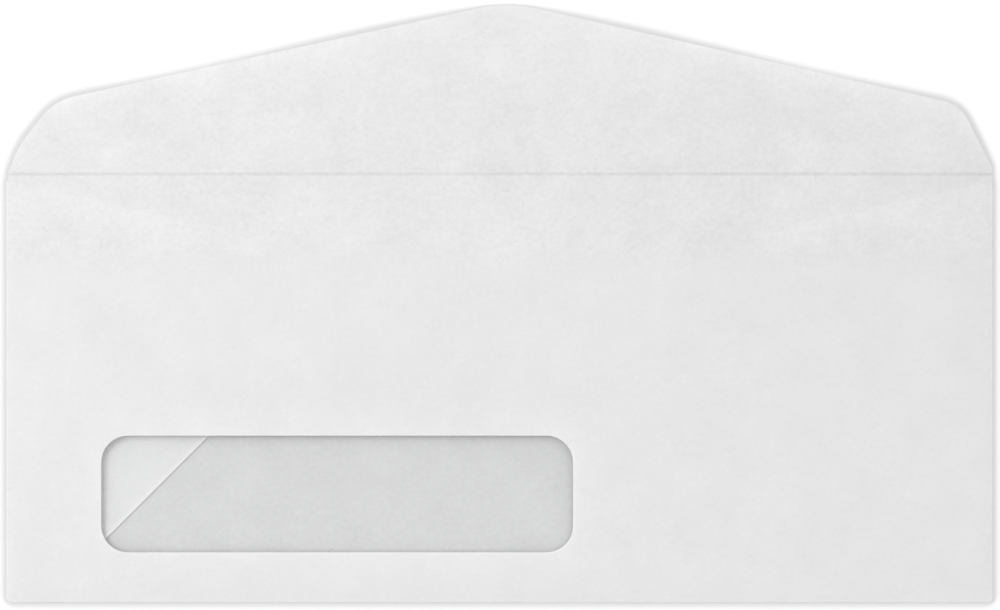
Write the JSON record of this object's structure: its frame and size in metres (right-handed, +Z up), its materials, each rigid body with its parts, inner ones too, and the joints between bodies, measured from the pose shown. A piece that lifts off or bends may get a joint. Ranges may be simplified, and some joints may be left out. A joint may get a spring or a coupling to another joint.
{
  "type": "window envelope",
  "caption": "Long white paper envelope with an open pointed seal flap, diagonal seams and a rounded address window with clear film",
  "frame": {"origin": "under the middle of the whole outline, on the surface that the envelope lies on", "axes": "+X along the envelope, +Y from the bottom fold to the flap's tip, +Z up out of the front panel"},
  "size_m": [0.2412, 0.146, 0.0074],
  "materials": {
    "paper": "matt uncoated white wove paper",
    "film": "thin clear polystyrene film with a soft gloss"
  },
  "bodies": {
    "root": {"folded_blank": "paper", "window_film": "film"}
  },
  "joints": []
}
